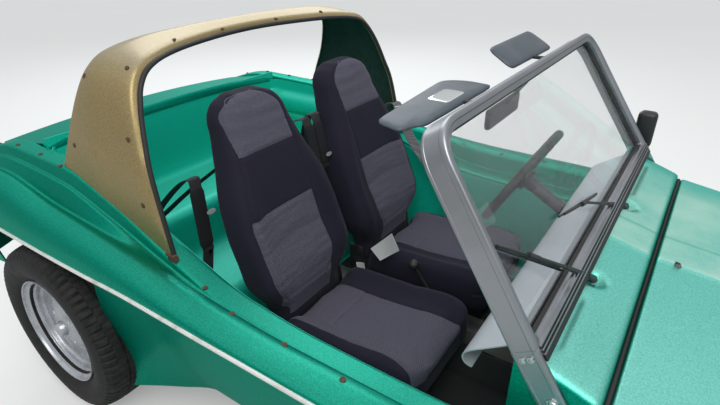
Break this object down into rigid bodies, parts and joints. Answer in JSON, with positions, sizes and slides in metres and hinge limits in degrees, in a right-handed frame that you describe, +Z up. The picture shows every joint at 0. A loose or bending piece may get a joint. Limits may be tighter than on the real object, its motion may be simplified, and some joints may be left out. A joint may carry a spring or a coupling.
{
  "type": "dune buggy",
  "caption": "Open two-seat dune buggy with a moulded body, roll hoop, leaning screen, high-back seats, front-hinged bonnet, exposed rear engine and steering road wheels.",
  "frame": {"origin": "on the ground under the middle of the car's length and width", "axes": "+X forward, +Y to the driver's left, +Z up"},
  "size_m": [3.38, 1.69, 1.3426],
  "materials": {
    "green_gelcoat": "metal-flake gloss",
    "gold_gelcoat": "metal-flake gloss",
    "white_trim": "gloss",
    "rubber_trim": "matt",
    "brushed_alloy": "brushed",
    "screen_glass": "clear",
    "black_plastic": "satin",
    "visor_vinyl": "soft grain",
    "seat_fabric": "stretch knit",
    "belt_webbing": "woven",
    "black_steel": "satin paint",
    "cast_alloy": "cast",
    "black_tin": "satin paint",
    "exhaust_steel": "heat-worn",
    "chrome_plate": "polished",
    "lamp_lens": "clear",
    "black_leather": "satin",
    "silver_steel": "silver paint",
    "tyre_rubber": "matt"
  },
  "bodies": {
    "chassis": {"floor_pan": "black_steel", "front_beam": "black_steel", "front_arms": "black_steel", "dampers": "black_steel", "steering_gear": "black_steel", "torsion_housing": "black_steel", "spring_plates": "black_steel", "axle_tubes": "black_steel", "transaxle": "cast_alloy", "engine_case": "cast_alloy", "cylinders": "cast_alloy", "fan_shroud": "black_tin", "fan_drive": "cast_alloy", "exhaust": "exhaust_steel", "body_side_left": "green_gelcoat", "body_side_right": "green_gelcoat", "rear_deck": "green_gelcoat", "cockpit_tub": "green_gelcoat", "scuttle": "green_gelcoat", "front_body": "green_gelcoat", "roll_hoop": "gold_gelcoat", "hoop_edge_trim": "rubber_trim", "side_trim_strips": "white_trim", "windscreen_frame": "brushed_alloy", "windscreen_glass": "screen_glass", "wipers": "black_plastic", "sun_visors": "visor_vinyl", "dashboard": "brushed_alloy", "seat_frames": "black_steel", "seat_cushions": "seat_fabric", "seat_backrests": "seat_fabric", "seat_belts": "belt_webbing", "hand_controls": "black_plastic", "pedals": "black_steel", "fuel_tank": "black_tin", "headlamps": "chrome_plate", "small_lamps": "lamp_lens", "bumpers": "chrome_plate", "mirrors": "black_plastic"},
    "bonnet": {"bonnet": "green_gelcoat"},
    "steering_wheel": {"steering_wheel": "black_leather"},
    "knuckle_left": {"knuckle_left": "black_steel"},
    "knuckle_right": {"knuckle_right": "black_steel"},
    "track_rod": {"track_rod": "black_steel"},
    "drop_arm": {"drop_arm": "black_steel"},
    "wheel_front_left": {"rim_front_left": "silver_steel", "tyre_front_left": "tyre_rubber"},
    "wheel_front_right": {"rim_front_right": "silver_steel", "tyre_front_right": "tyre_rubber"},
    "wheel_rear_left": {"rim_rear_left": "silver_steel", "tyre_rear_left": "tyre_rubber"},
    "wheel_rear_right": {"rim_rear_right": "silver_steel", "tyre_rear_right": "tyre_rubber"}
  },
  "joints": [
    {"name": "bonnet_hinge", "type": "hinge", "parent": "chassis", "child": "bonnet", "pos_m": [1.402, 0, 0.764], "axis": [0, 1, 0], "range_deg": [0, 60]},
    {"name": "steer_left", "type": "hinge", "parent": "chassis", "child": "knuckle_left", "pos_m": [1.11, 0.57, 0.315], "axis": [0, 0, 1], "range_deg": [-28, 28]},
    {"name": "steer_right", "type": "hinge", "parent": "chassis", "child": "knuckle_right", "pos_m": [1.11, -0.57, 0.315], "axis": [0, 0, 1], "range_deg": [-28, 28]},
    {"name": "steering_turn", "type": "hinge", "parent": "chassis", "child": "steering_wheel", "pos_m": [0.273, 0.28, 0.86], "axis": [-0.8746, 0, 0.4848], "range_deg": [-392, 392]},
    {"name": "track_rod_shift", "type": "slide", "parent": "chassis", "child": "track_rod", "axis": [0, 1, 0], "range_m": [-0.044, 0.044]},
    {"name": "drop_arm_turn", "type": "hinge", "parent": "chassis", "child": "drop_arm", "pos_m": [1.31, 0.28, 0.345], "axis": [0, 0, 1], "range_deg": [-23, 23]},
    {"name": "spin_front_left", "type": "hinge", "parent": "knuckle_left", "child": "wheel_front_left", "pos_m": [1.11, 0.665, 0.315], "axis": [0, 1, 0], "continuous": true},
    {"name": "spin_front_right", "type": "hinge", "parent": "knuckle_right", "child": "wheel_front_right", "pos_m": [1.11, -0.665, 0.315], "axis": [0, 1, 0], "continuous": true},
    {"name": "spin_rear_left", "type": "hinge", "parent": "chassis", "child": "wheel_rear_left", "pos_m": [-0.99, 0.73, 0.335], "axis": [0, 1, 0], "continuous": true},
    {"name": "spin_rear_right", "type": "hinge", "parent": "chassis", "child": "wheel_rear_right", "pos_m": [-0.99, -0.73, 0.335], "axis": [0, 1, 0], "continuous": true}
  ],
  "couplings": [
    {"joint": "steer_right", "follows": "steer_left", "ratio": 1},
    {"joint": "steering_turn", "follows": "steer_left", "ratio": 14},
    {"joint": "track_rod_shift", "follows": "steer_left", "m_per_rad": 0.09},
    {"joint": "drop_arm_turn", "follows": "steer_left", "ratio": -0.8182}
  ]
}
